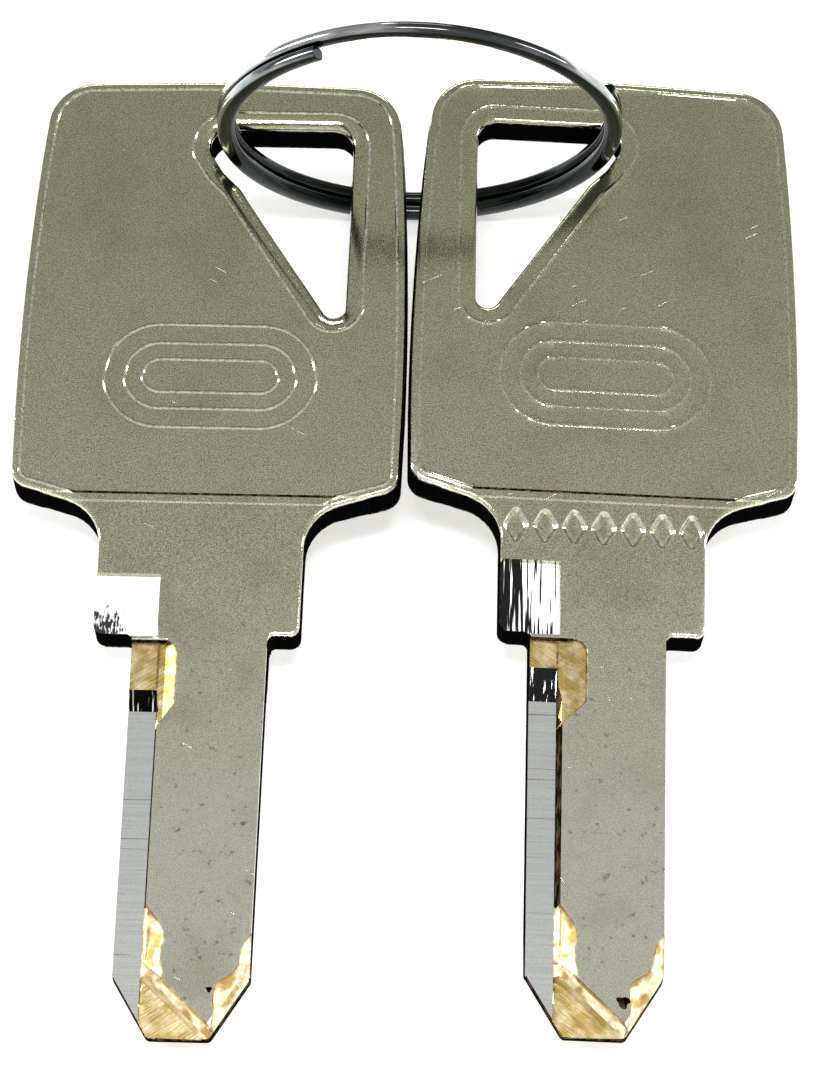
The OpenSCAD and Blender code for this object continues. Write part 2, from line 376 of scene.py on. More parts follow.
class Face:
    """The relief of one face, in that face's own frame, seen from outside with the bow up."""

    # A place past the collar's edge, a place below the tip and a level above every face
    FAR = -9
    BELOW_TIP = -1
    HIGH = 3.0
    # The ledge runs along the blade's left edge and stops inside the notch
    LEDGE_ACROSS = 2.35
    LEDGE_FLOOR = 0.35
    LEDGE_END = 24.2
    # Creases and browning stop just above the ledge's end
    CUTS_END = 24.3
    # The wider cut at the ledge's root: its foot, the level where it is widest, and its top
    ROOT_LOW = 18.4
    ROOT_FOOT = 2.45
    ROOT_WIDE = 20.2
    ROOT_TOP = 24.05
    ROOT_RADII = (0, 0, 0, 0.5, 0.8)
    # It is flat as far as a bend, then slopes up to a low lip
    ROOT_FLAT = 0.4
    ROOT_LIP = 0.08
    BEND_START = 18
    # The notch across the collar
    NOTCH_LOW = 24.25
    NOTCH_FLOOR = 0.95
    NOTCH_WALL = 0.1
    NOTCH_RADII = (0, 0.12, 0.12, 0)
    # Rise of the steep walls
    WALL_RISE = 15
    # The tip's slope ends along one curve and its lobes along the other, from the blade's middle line
    TIP_CURVE = ((-2.35, 8.0), (-2.1, 7.75), (-1.7, 7.2), (-1.3, 6.7), (-1.08, 6.2), (-1.0, 5.6),
                 (-1.15, 5.0), (-1.15, 4.4), (-1.0, 3.75), (-0.95, 3.15))
    LOBE_CURVE = ((4.4, 6.5), (3.9, 6.15), (3.45, 5.5), (3.33, 4.9), (3.28, 4.3), (2.95, 3.75),
                  (2.45, 3.45), (2.1, 3.2), (1.93, 2.7), (1.9, 2.1), (2.0, 1.5), (1.85, 0.6), (1.7, -0.4))
    NARROWEST_SLOPE = 0.05
    # The lobes drop steeply to a depth, then gently past a reach
    LOBE_STEEP = 1.2
    LOBE_STEP = 0.12
    LOBE_REACH = 0.1
    LOBE_GENTLE = 0.45
    # The tip's slanted cut: its upper edge, then distances past it and drops below the blade's face
    DIAGONAL = ((-2.5, 4.75), (2.35, 0.1))
    DIAGONAL_DROP = ((0, 0), (0.15, 0.2), (0.5, 0.64), (0.75, 0.95))
    # The tip's outer bevel: its level at the outline, its rise inward and its fade up the blade
    BEVEL_LOW = 0.18
    BEVEL_RISE = 2.43
    BEVEL_FADE = 3
    # An uneven dent by the tip, painted near black as shade
    PIT_POINTS = 24
    PIT_WAVE = 0.22
    PIT_RIPPLE = 0.1
    PIT_DEPTH = 0.3
    PIT_RIM = 0.08
    # Rows of points beside the creases
    ROOT_ROWS = (-0.12, -0.03, 0, 0.15)
    NOTCH_ROWS = (-0.1, 0, NOTCH_WALL)
    GROOVE_ROW = 0.1
    TIP_ROWS = (-0.12, 0, 0.12)
    LOBE_ROWS = (-0.1, 0, 0.1, 0.35, 0.7)
    DIAGONAL_ROWS = (-0.1, *(past for past, _ in DIAGONAL_DROP))

    # How far across the face its cuts end, the root cut's floor, the ramp that joins it to the ledge, the
    # width of the ledge's slanted wall, and the dent's place and radius differ from face to face
    def __init__(self, second, shift, root_edge, root_floor, ramp_start, ramp_rise, groove, notch_edge,
                 notch_top, pit):
        self.second = second
        self.flip = FLIP if second else np.ones(2)
        self.outline = key_loop * self.flip
        self.hole = hole_loop * self.flip
        self.clear = SECOND_CLEAR if second else 1.0
        self.groove = groove
        self.ledge_edge = shift - self.LEDGE_ACROSS
        self.ramp_start = ramp_start
        self.ramp_rise = ramp_rise
        self.ramp_top = ramp_start + (root_floor - self.LEDGE_FLOOR) / ramp_rise
        self.root_floor = root_floor
        self.root_bend = self.ledge_edge + self.ROOT_FLAT
        right = shift + root_edge
        foot = shift - self.ROOT_FOOT
        self.root_slope = (NECK_UP - self.ROOT_LIP - root_floor) / (right - self.root_bend)
        self.root_loop = rounded(
            [(self.FAR, self.ROOT_TOP), (self.FAR, self.ROOT_LOW), (foot, self.ROOT_LOW),
             (right, self.ROOT_WIDE), (right, self.ROOT_TOP)], self.ROOT_RADII)
        self.notch_loop = rounded(
            [(self.FAR, self.NOTCH_LOW), (notch_edge, self.NOTCH_LOW), (notch_edge, notch_top),
             (self.FAR, notch_top)], self.NOTCH_RADII)
        self.tip_curve = np.array(self.TIP_CURVE) + (shift, 0)
        self.lobe_curve = np.array(self.LOBE_CURVE) + (shift, 0)
        self.diagonal = np.array(self.DIAGONAL) + (shift, 0)
        turns = np.linspace(0, 2 * math.pi, self.PIT_POINTS, endpoint=False)
        pit_x, pit_y, pit_radius = pit
        radii = pit_radius * (1 + self.PIT_WAVE * np.sin(3 * turns) + self.PIT_RIPPLE * np.sin(5 * turns + 1))
        self.pit = np.stack([shift + pit_x + radii * np.cos(turns), pit_y + radii * np.sin(turns)], 1)

    def lines(self):
        """Creases of the relief, as loops and as open lines."""
        loops = [inward(self.root_loop, d) for d in self.ROOT_ROWS]
        loops += [inward(self.notch_loop, d) for d in self.NOTCH_ROWS]
        loops += [self.pit, inward(self.pit, self.PIT_RIM)]
        if self.second:
            for loop in mark_loops():
                loops += [inward(loop, -MARK_ROW), loop, inward(loop, MARK_SLOPE)]
        edge = self.ledge_edge
        grooved = edge + self.groove
        widest = self.root_loop[:, 0].max()
        upright = (edge, grooved, grooved + self.GROOVE_ROW)
        opened = [np.array([(x, self.BELOW_TIP), (x, self.CUTS_END)]) for x in upright]
        opened += [np.array([(self.root_bend, self.BEND_START), (self.root_bend, self.LEDGE_END)])]
        opened += [np.array([(self.FAR, y), (grooved, y)]) for y in (self.ramp_start, self.ramp_top)]
        opened += [np.array([(self.FAR, y), (widest, y)]) for y in (self.ROOT_TOP, self.NOTCH_LOW)]
        opened += [beside(self.tip_curve, d) for d in self.TIP_ROWS]
        opened += [beside(self.lobe_curve, d) for d in self.LOBE_ROWS]
        opened += [self.diagonal + self.diagonal_normal() * d for d in self.DIAGONAL_ROWS]
        return loops, opened

    def diagonal_normal(self):
        """Points from the diagonal toward the tip's cut corner."""
        along = self.diagonal[1] - self.diagonal[0]
        along /= np.linalg.norm(along)
        return np.array([along[1], -along[0]])

    # Each cut below gives its level at each point and the material of its surface. Steep walls and the ramp
    # are painted near black as shade, and the tip's slopes get a pale brass that is a painted highlight

    def ledge_cut(self, x, y):
        past_edge = np.maximum(0, x - self.ledge_edge)
        level = self.LEDGE_FLOOR + past_edge * (NECK_UP - self.LEDGE_FLOOR) / self.groove
        level += np.maximum(0, y - self.ramp_start) * self.ramp_rise
        kind = np.where(x > self.ledge_edge, GROOVE, np.where(y > self.ramp_start, RAMP, LEDGE))
        return np.where(y > self.LEDGE_END, self.HIGH, level), kind

    def root_cut(self, x, y, points):
        out = np.maximum(0, -depth_in(points, self.root_loop))
        slope = np.maximum(0, x - self.root_bend) * self.root_slope
        kind = np.where((out > 0) & (y > self.ROOT_TOP), GROOVE, BRASS)
        return self.root_floor + slope + out * self.WALL_RISE, kind

    def notch_cut(self, points):
        depth = depth_in(points, self.notch_loop)
        level = self.NOTCH_FLOOR + np.maximum(0, self.NOTCH_WALL - depth) * self.WALL_RISE
        return level, np.where(depth < self.NOTCH_WALL, GROOVE, WORN_NOTCH if self.second else NOTCH)

    def tip_slope(self, x, y):
        curve = self.tip_curve[::-1]
        reach = np.interp(y, curve[:, 1], curve[:, 0], curve[0, 0], self.FAR)
        share = (x - self.ledge_edge) / np.maximum(reach - self.ledge_edge, self.NARROWEST_SLOPE)
        level = self.LEDGE_FLOOR + (NECK_UP - self.LEDGE_FLOOR) * np.maximum(share, 0)
        return np.where((y > curve[-1, 1]) | (x < self.ledge_edge), self.HIGH, level), HIGHLIT_BRASS

    def tip_corner(self, x, points):
        past = (points - self.diagonal[0]) @ self.diagonal_normal()
        reach, drop = zip(*self.DIAGONAL_DROP)
        level = NECK_UP - np.interp(past, reach, drop)
        on_ledge = x < self.ledge_edge + ON_EDGE
        # A band down the slanted cut gets the pale brass, a painted highlight
        kind = np.where((past > reach[1]) & (past < reach[2]), HIGHLIT_BRASS, BRASS)
        return np.where((past < 0) | on_ledge, self.HIGH, level), kind

    def lobes(self, x, y, points):
        curve = self.lobe_curve[::-1]
        out = distance_to(points, self.lobe_curve, closed=False)
        beyond = (x > np.interp(y, curve[:, 1], curve[:, 0])) & (y < curve[-1, 1])
        gentle = self.LOBE_STEP + self.LOBE_GENTLE * np.maximum(out - self.LOBE_REACH, 0)
        return np.where(beyond, NECK_UP - np.minimum(self.LOBE_STEEP * out, gentle), self.HIGH), HIGHLIT_BRASS

    def uncut(self, y, to_hole, at_edge, lines):
        """Level of the face before its cuts."""
        bow = RIM_UP + sum(bead_up(d) for d in lines) * self.clear
        if not self.second:
            bow -= ROLL_DEPTH * np.clip(1 - np.abs(to_hole) / ROLL_WIDTH, 0, 1) ** 2
        steps = sum(share * step_up(y, start, STEP_WIDTH) for start, share in NECK_STEPS)
        radius = np.where(y > BLADE_LENGTH, EDGE_ROUND, BLADE_ROUND)
        return NECK_UP + (bow - NECK_UP) * steps - round_drop(at_edge, radius)

    def edge_wear_and_highlight(self, x, y, at_edge, lines):
        """Wear and painted highlight on the raised lines and the edges, and a painted highlight on two
        corners.
        """
        wear_and_light = self.clear * np.max([1 - np.abs(d) / WEAR_AND_LIGHT_WIDTH for d in lines], 0) * (y > BOW_BASE)
        low_wear_and_highlight = np.where(y < self.lobe_curve[0, 1], TIP_WEAR_AND_HIGHLIGHT, BLADE_WEAR_AND_HIGHLIGHT)
        strength = np.where(y > BLADE_LENGTH, BOW_WEAR_AND_HIGHLIGHT, low_wear_and_highlight)
        wear_and_light = np.maximum(wear_and_light, (1 - at_edge / WEAR_AND_LIGHT_WIDTH) * strength)
        if self.second:
            # Two corners get a painted highlight
            to_corner = np.min([np.hypot(x - cx, y - cy) for cx, cy in HIGHLIT_CORNERS], 0)
            highlight_and_wear = (1 - at_edge / HIGHLIGHT_WIDTH) * step_up(HIGHLIGHT_REACH - to_corner, 0, HIGHLIGHT_FADE)
            wear_and_light = np.maximum(wear_and_light, highlight_and_wear * HIGHLIGHT_STRENGTH)
        return wear_and_light

    def cut_rim_shade(self, x, y, points):
        """Painted shade along the rims of the cuts, drawn brown."""
        to_rim = [np.abs(depth_in(points, self.root_loop)), np.abs(x - self.ledge_edge)]
        for curve in (self.tip_curve, self.lobe_curve, self.diagonal):
            to_rim.append(distance_to(points, curve, closed=False))
        return np.max([1 - d / WEAR_AND_LIGHT_WIDTH for d in to_rim], 0) * (y < self.CUTS_END)

    def punch(self, points, up, wear_and_light):
        """Sinks the marks into the level and gives their slopes wear and a painted highlight."""
        near = np.abs(points[:, 1] - MARK_LEVEL) < 2 * MARK_HALF[1]
        for loop in mark_loops():
            depth = depth_in(points[near], loop)
            up[near] -= MARK_DEPTH * step_up(depth, 0, MARK_SLOPE)
            wear_and_light[near] = np.maximum(wear_and_light[near], (depth > -MARK_LIP) & (depth < MARK_SLOPE))

    def relief(self, flat):
        """Level of the face at each point of the plan, the material there, and its wear and painted light."""
        points = flat * self.flip
        x, y = points[:, 0], points[:, 1]
        to_outline = depth_in(points, self.outline)
        to_hole = -depth_in(points, self.hole)
        at_edge = np.minimum(np.abs(to_outline), np.abs(to_hole))
        lines = [to_outline - BORDER_INSET, to_hole - BAND_WIDTH]
        lines += [depth_in(points, stadium(shrink)) for shrink in EMBLEM_LINES]
        up = self.uncut(y, to_hole, at_edge, lines)
        wear_and_light = self.edge_wear_and_highlight(x, y, at_edge, lines)
        if self.second:
            self.punch(points, up, wear_and_light)
        cuts = [self.ledge_cut(x, y), self.root_cut(x, y, points), self.notch_cut(points),
                self.tip_slope(x, y), self.tip_corner(x, points), self.lobes(x, y, points)]
        line_start = NECK_STEPS[1][0]
        on_line = (y > line_start) & (y < line_start + STEP_WIDTH) & (to_outline > BORDER_INSET)
        # A dark line along the upper neck step: painted shade of the step's wall
        material = np.where(on_line, GROOVE, PLATED)
        for level, kind in cuts:
            material = np.where(level < up - TINY, kind, material)
            up = np.minimum(up, level)
        in_pit = depth_in(points, self.pit)
        up -= self.PIT_DEPTH * step_up(in_pit, 0, self.PIT_RIM)
        # The dent is painted near black: painted shade
        material = np.where(in_pit > 0, GROOVE, material)
        bevel = self.BEVEL_LOW + self.BEVEL_RISE * np.maximum(to_outline, 0)
        bevel += np.maximum(0, y - TIP_RISE) * self.BEVEL_FADE
        # A thin band along the tip's outline is painted near black: painted shade
        material = np.where((bevel < up - TINY) & (to_outline < BLADE_ROUND), GROOVE, material)
        # Painted shade along the cut rims joins the wear and painted highlights
        wear_and_light = np.maximum(wear_and_light, self.cut_rim_shade(x, y, points))
        return np.minimum(up, bevel), material, np.clip(wear_and_light, 0, 1)


first_face = Face(
    second=False, shift=BLADE_SHIFT, root_edge=-1.25, root_floor=0.75, ramp_start=19.9, ramp_rise=0.33,
    groove=0.17, notch_edge=-2.15, notch_top=28.2, pit=(1.7, 2.75, 0.17))
second_face = Face(
    second=True, shift=-BLADE_SHIFT, root_edge=-0.65, root_floor=0.85, ramp_start=20.4, ramp_rise=0.26,
    groove=0.3, notch_edge=-2.5, notch_top=28.9, pit=(1.6, 1.95, 0.36))

# Spacing of the plan's points, and rows of points down the outer walls as shares of their height
GRID = 0.45
WALL_ROWS = (0.07, 0.93)
# Points nearer than this are one point
MERGE = 1e-5
# The neck's steps are drawn past the bow's sides, to this far from the middle
STEP_REACH = 12
# Least thickness where cuts on both faces meet
THINNEST = 0.05
# Edges that bend by more than these many degrees are drawn sharp
KEY_SHARP = 27
RING_SHARP = 40


def crease_lines():
    """Every crease of both faces, in the first face's frame."""
    beads = [d for d, _ in BEAD] + [0]
    loops = [key_loop, hole_loop]
    loops += [inward(key_loop, d) for d in ROUND_INSETS]
    loops += [inward(key_loop, BORDER_INSET + d) for d in beads]
    loops += [inward(hole_loop, -d) for d in ROUND_INSETS + ROLL_INSETS]
    loops += [inward(hole_loop, -BAND_WIDTH - d) for d in beads]
    for shrink in EMBLEM_LINES:
        loops += [stadium(shrink + d) for d in beads]
    levels = [y + d for y, _ in NECK_STEPS for d in (0, STEP_WIDTH)]
    opened = [np.array([(-STEP_REACH, y), (STEP_REACH, y)]) for y in levels]
    for face in (first_face, second_face):
        more_loops, more_lines = face.lines()
        loops += [loop * face.flip for loop in more_loops]
        opened += [line * face.flip for line in more_lines]
    return loops, opened


def flat_mesh():
    """The key's plan as points and triangles, with an edge along every crease."""
    loops, opened = crease_lines()
    verts, edges = [], []
    for line, closed in [(loop, True) for loop in loops] + [(line, False) for line in opened]:
        start = len(verts)
        verts += [Vector(p) for p in line]
        edges += [(start + i, start + i + 1) for i in range(len(line) - 1)]
        if closed:
            edges.append((start + len(line) - 1, start))
    for row, y in enumerate(np.arange(GRID, KEY_LENGTH, GRID)):
        verts += [Vector((x + row % 2 * GRID / 2, y)) for x in np.arange(-BOW_HALF, BOW_HALF, GRID)]
    flat, _, tris, _, _, _ = delaunay_2d_cdt(verts, edges, [], 0, MERGE)
    flat = np.array([tuple(v) for v in flat])
    tris = np.array([t for t in tris if len(t) == 3])
    middles = flat[tris].mean(1)
    tris = tris[inside(middles, key_loop) & ~inside(middles, hole_loop)]
    a, b, c = (flat[tris[:, k]] for k in range(3))
    area = (b[:, 0] - a[:, 0]) * (c[:, 1] - a[:, 1]) - (b[:, 1] - a[:, 1]) * (c[:, 0] - a[:, 0])
    tris[area < 0] = tris[area < 0][:, ::-1]
    used = np.unique(tris)
    index = np.full(len(flat), -1)
    index[used] = np.arange(len(used))
    return flat[used], index[tris]


def mark_sharp(mesh, limit):
    """Sharp edges where the surface bends past the limit, and round every cut."""
    shape = bmesh.new()
    shape.from_mesh(mesh)
    for edge in shape.edges:
        if len(edge.link_faces) == 2:
            kinds = {face.material_index for face in edge.link_faces}
            cut_edge = len(kinds) == 2 and WALL not in kinds
            edge.smooth = not cut_edge and edge.calc_face_angle(0) < limit
    shape.to_mesh(mesh)
    shape.free()


def flat_at(points, level):
    """The plan's points, each at its own level."""
    return np.column_stack([points, level])


def key_mesh():
    """One key as a closed mesh in its own frame, in metres, with a material for each face."""
    flat, tris = flat_mesh()
    middles = flat[tris].mean(1)
    up, _, wear_and_light_up = first_face.relief(flat)
    down, _, wear_and_light_down = second_face.relief(flat)
    _, above, _ = first_face.relief(middles)
    _, below, _ = second_face.relief(middles)
    up = np.maximum(up, -down + THINNEST)
    n = len(flat)
    pairs = {(int(t[k]), int(t[(k + 1) % 3])) for t in tris for k in range(3)}
    rim = sorted((p, q) for p, q in pairs if (q, p) not in pairs)
    ends = sorted({p for pair in rim for p in pair})
    row = {p: k for k, p in enumerate(ends)}
    layers = [flat_at(flat, up), flat_at(flat, -down)]
    layers += [flat_at(flat[ends], up[ends] * (1 - t) - down[ends] * t) for t in WALL_ROWS]
    points = np.concatenate(layers)
    faces = [tuple(t) for t in tris] + [(t[2] + n, t[1] + n, t[0] + n) for t in tris]
    materials = list(above) + list(below)
    for p, q in rim:
        left = [p] + [2 * n + k * len(ends) + row[p] for k in range(len(WALL_ROWS))] + [p + n]
        right = [q] + [2 * n + k * len(ends) + row[q] for k in range(len(WALL_ROWS))] + [q + n]
        for k in range(len(WALL_ROWS) + 1):
            faces.append((right[k], left[k], left[k + 1], right[k + 1]))
            materials.append(WALL)
    mesh = bpy.data.meshes.new("key")
    mesh.from_pydata((points * MM).tolist(), [], faces)
    mesh.polygons.foreach_set("material_index", np.array(materials, np.int32))
    mesh.polygons.foreach_set("use_smooth", np.ones(len(faces), bool))
    wear_and_light = np.zeros(len(points), np.float32)
    wear_and_light[:2 * n] = np.concatenate([wear_and_light_up, wear_and_light_down])
    mesh.attributes.new("wear_and_light", "FLOAT", "POINT").data.foreach_set("value", wear_and_light)
    own_place = (points * MM).astype(np.float32).ravel()
    mesh.attributes.new("own_place", "FLOAT_VECTOR", "POINT").data.foreach_set("vector", own_place)
    mark_sharp(mesh, math.radians(KEY_SHARP))
    mesh.update()
    return mesh


# ---------------------------------------------------------------- ring

# From the ring's centre to the wire's middle, and the wire's size out from the centre and along the axis
RING_RADIUS = 11.44
WIRE_RADIAL = 1.1
WIRE_AXIAL = 0.8
# Power of the rounded-box section: 2 is an ellipse, and more is squarer
WIRE_POWER = 2.7
WIRE_POINTS = 32
# From one turn to the next
TURN_PITCH = 0.84
# Where the wire's two ends are, in degrees round the ring
FIRST_END = 121.0
SECOND_END = 17.0
WIND_STEP = 2.0
# Each end narrows by this much over this many degrees
END_SHRINK = 0.04
END_TURN = 0.2


def wire_section(shrink=0.0):
    """The wire's section: a box with rounded corners and crowned faces."""
    points = []
    for k in range(WIRE_POINTS):
        t = 2 * math.pi * k / WIRE_POINTS
        radial, axial = (math.copysign(abs(v) ** (2 / WIRE_POWER), v) for v in (math.cos(t), math.sin(t)))
        points.append(((WIRE_RADIAL / 2 - shrink) * radial, (WIRE_AXIAL / 2 - shrink) * axial))
    return points


def ring_mesh():
    """The wire swept along both turns, with the stretch that steps between them."""
    before_step = 360 - (FIRST_END - SECOND_END)
    total = 360 + before_step
    steps = round(total / WIND_STEP)
    full = [total * k / steps for k in range(steps + 1)]
    full[0], full[-1] = END_TURN, total - END_TURN
    stations = [(0.0, END_SHRINK)] + [(wound, 0.0) for wound in full] + [(total, END_SHRINK)]
    verts, faces, drawn = [], [], []
    for wound, shrink in stations:
        t = math.radians(FIRST_END + wound)
        s = min(max((wound - before_step) / (360 - before_step), 0), 1)
        shift = TURN_PITCH * (s * s * (3 - 2 * s) - 0.5)
        for radial, axial in wire_section(shrink):
            r = RING_RADIUS + radial
            verts.append((r * math.cos(t) * MM, (axial + shift) * MM, r * math.sin(t) * MM))
            drawn += [math.radians(wound) * RING_RADIUS * MM, axial * MM, radial * MM]
    n = len(wire_section())
    for k in range(len(stations) - 1):
        for i in range(n):
            j = (i + 1) % n
            faces.append((k * n + i, k * n + j, (k + 1) * n + j, (k + 1) * n + i))
    faces.append(tuple(range(n - 1, -1, -1)))
    faces.append(tuple((len(stations) - 1) * n + i for i in range(n)))
    mesh = bpy.data.meshes.new("ring")
    mesh.from_pydata(verts, [], faces)
    mesh.polygons.foreach_set("use_smooth", np.ones(len(faces), bool))
    # Place along the wire, across it and out from the ring's centre
    along_wire = mesh.attributes.new("drawn", "FLOAT_VECTOR", "POINT")
    along_wire.data.foreach_set("vector", np.array(drawn, np.float32))
    mesh.set_sharp_from_angle(angle=math.radians(RING_SHARP))
    mesh.update()
    return mesh


# ---------------------------------------------------------------- materials

# Sizes of patterns and depths of bumps are in mm. Shares and roughness are from 0 to 1


class Metal:
    """A metal's node tree, with short calls for the nodes that it is made of."""

    def __init__(self, name, place="own_place"):
        self.material = bpy.data.materials.new(name)
        self.material.use_nodes = True
        self.tree = self.material.node_tree
        self.surface = self.tree.nodes["Principled BSDF"]
        self.surface.inputs["Metallic"].default_value = 1.0
        self.place = self.node("ShaderNodeAttribute", {}, attribute_name=place).outputs["Vector"]

    def dull(self):
        """No metal and no specular reflection, for surfaces painted near black as shade."""
        self.surface.inputs["Metallic"].default_value = 0.0
        self.surface.inputs["Specular IOR Level"].default_value = 0.0

    def node(self, kind, inputs, **settings):
        """A new node. Its inputs are values or the sockets that feed them."""
        made = self.tree.nodes.new(kind)
        for name, value in settings.items():
            setattr(made, name, value)
        for name, value in inputs.items():
            if isinstance(value, bpy.types.NodeSocket):
                self.tree.links.new(value, made.inputs[name])
            else:
                made.inputs[name].default_value = value
        return made

    def stretched(self, stretch, turn):
        """The place in mm, squeezed along each axis so that a pattern on it is drawn out."""
        inputs = {"Vector": self.place, "Rotation": (0, 0, turn), "Scale": tuple(MM * s for s in stretch)}
        return self.node("ShaderNodeMapping", inputs, vector_type="TEXTURE").outputs[0]

    def noise(self, size, stretch=(1, 1, 1), detail=2.0, turn=0.0):
        """Noise with features of a size, drawn out along the axes where stretch is above 1."""
        inputs = {"Vector": self.stretched(stretch, turn), "Scale": 1 / size, "Detail": detail}
        return self.node("ShaderNodeTexNoise", inputs).outputs[0]

    def spots(self, spacing, radius, share):
        """Scattered round spots: 1 in a spot and 0 between them."""
        inputs = {"Vector": self.stretched((1, 1, 1), 0), "Scale": 1 / spacing}
        cells = self.node("ShaderNodeTexVoronoi", inputs)
        picked = self.ramp(cells.outputs["Color"], 1 - share, 1 - share + 0.02)
        edge = radius / spacing
        return self.times(self.ramp(cells.outputs["Distance"], edge, edge / 3), picked)

    def ramp(self, value, low, high, start=0.0, end=1.0):
        """A value from low to high, mapped to start to end and held past them."""
        inputs = {"Value": value, "From Min": low, "From Max": high, "To Min": start, "To Max": end}
        return self.node("ShaderNodeMapRange", inputs).outputs[0]

    def times(self, first, second):
        return self.node("ShaderNodeMath", {0: first, 1: second}, operation="MULTIPLY").outputs[0]

    def plus(self, first, second):
        return self.node("ShaderNodeMath", {0: first, 1: second}, operation="ADD", use_clamp=True).outputs[0]

    def mix(self, share, first, second):
        """The first colour, turned into the second by a share. Sockets 6, 7 and 2 are the colour ones."""
        first, second = [(*c, 1) if isinstance(c, tuple) else c for c in (first, second)]
        return self.node("ShaderNodeMix", {0: share, 6: first, 7: second}, data_type="RGBA").outputs[2]

    def wear_and_light(self):
        """The mesh's wear and painted light at each place: wear with painted highlights on edges, lines and
        marks, and painted shade along the cut rims.
        """
        return self.node("ShaderNodeAttribute", {}, attribute_name="wear_and_light").outputs["Fac"]

    def axis(self, name):
        """The place along one axis, in metres."""
        return self.node("ShaderNodeSeparateXYZ", {0: self.place}).outputs[name]

    def finish(self, colour, roughness, heights=()):
        """Sets the surface. Each height is a pattern and its depth in mm."""
        for name, value in (("Base Color", colour), ("Roughness", roughness)):
            if isinstance(value, bpy.types.NodeSocket):
                self.tree.links.new(value, self.surface.inputs[name])
            else:
                self.surface.inputs[name].default_value = (*value, 1) if name == "Base Color" else value
        normal = None
        for pattern, depth in heights:
            inputs = {"Height": pattern, "Distance": depth * MM}
            if normal is not None:
                inputs["Normal"] = normal
            normal = self.node("ShaderNodeBump", inputs).outputs[0]
        if normal is not None:
            self.tree.links.new(normal, self.surface.inputs["Normal"])
        return self.material


# Plating colour at the bow's top, at the neck and on the blade. The paler neck and blade are partly wear and
# partly painted light
TOP_COLOUR = (0.68, 0.68, 0.43)
NECK_COLOUR = (0.9, 0.89, 0.645)
BLADE_COLOUR = (0.955, 0.935, 0.76)


def satin_plate():
    """Satin plating with fine grain, smudges and scratches, palest on the blade partly as painted light, its
    edges and raised lines whitened by wear and painted highlights.
    """
    metal = Metal("satin_plate")
    cloud = metal.noise(4.0, detail=3)
    grain = metal.noise(0.065, detail=2)
    # Paler toward the blade: partly wear and partly painted light
    colour = metal.mix(metal.ramp(metal.axis("Y"), 0.052, 0.03), TOP_COLOUR, NECK_COLOUR)
    toward_tip = metal.ramp(metal.axis("Y"), 0.03, 0.014)
    colour = metal.mix(toward_tip, colour, BLADE_COLOUR)
    colour = metal.mix(metal.ramp(cloud, 0.5, 0.75, 0, 0.3), colour, (0.36, 0.31, 0.2))
    grain_share = metal.times(metal.ramp(grain, 0.35, 0.65), metal.ramp(toward_tip, 0, 1, 0.9, 0.45))
    colour = metal.mix(grain_share, colour, (0.2, 0.19, 0.14))
    smudges = metal.ramp(metal.noise(0.5, detail=2), 0.64, 0.76)
    smudges = metal.times(smudges, metal.ramp(toward_tip, 0, 1, 0.1, 0.7))
    colour = metal.mix(smudges, colour, (0.12, 0.11, 0.085))
    scratches = metal.plus(
        metal.ramp(metal.noise(0.09, (26, 1, 1), 0, math.radians(-28)), 0.82, 0.87),
        metal.ramp(metal.noise(0.09, (30, 1, 1), 0, math.radians(62)), 0.83, 0.88),
    )
    scratches = metal.times(scratches, metal.ramp(metal.noise(3.0, detail=1), 0.5, 0.6))
    dings = metal.spots(1.4, 0.07, 0.25)
    bright = metal.plus(metal.times(scratches, 0.3), metal.times(dings, 0.7))
    # Edges, raised lines and marks whitened: wear and painted highlight
    highlight_and_wear = metal.times(metal.wear_and_light(), metal.ramp(metal.noise(0.22, detail=1), 0.4, 0.6, 0.15, 1))
    colour = metal.mix(metal.plus(bright, highlight_and_wear), colour, (0.95, 0.93, 0.86))
    return metal.finish(colour, 0.09, ((grain, 0.0035), (scratches, 0.004)))


def dark_edge():
    """The stamped edge, painted nearly black as shade, with wear and painted highlights along its corners."""
    metal = Metal("dark_edge")
    metal.dull()
    streaks = metal.noise(0.12, (1, 1, 8))
    highlight_and_wear = metal.times(metal.wear_and_light(), metal.ramp(metal.noise(0.3), 0.45, 0.65))
    # Near black: painted shade on the edge
    colour = metal.mix(metal.ramp(streaks, 0.55, 0.8, 0, 0.5), (0.002, 0.002, 0.002), (0.01, 0.009, 0.007))
    colour = metal.mix(metal.times(highlight_and_wear, 0.8), colour, (0.7, 0.68, 0.6))
    return metal.finish(colour, 0.4, ((streaks, 0.004),))


def milled_brass(name, base, patch, patch_range, roughness, metallic):
    """Bare brass with cutter marks, clouded, and painted brown along the rim of the cut as shade."""
    metal = Metal(name)
    metal.surface.inputs["Metallic"].default_value = metallic
    marks = metal.noise(0.07, (14, 1, 1), 1, math.radians(35))
    cloud = metal.noise(0.9, detail=3)
    colour = metal.mix(metal.ramp(cloud, *patch_range), base, patch)
    colour = metal.mix(metal.ramp(marks, 0.35, 0.65, 0, 0.18), colour, (0.38, 0.24, 0.06))
    # Painted shade along the cut's rim, drawn brown
    rim_shade = metal.times(metal.wear_and_light(), metal.ramp(metal.noise(0.35), 0.35, 0.6, 0.4, 1))
    colour = metal.mix(rim_shade, colour, (0.13, 0.055, 0.01))
    return metal.finish(colour, metal.ramp(marks, 0.3, 0.7, roughness, roughness + 0.12), ((marks, 0.0008),))


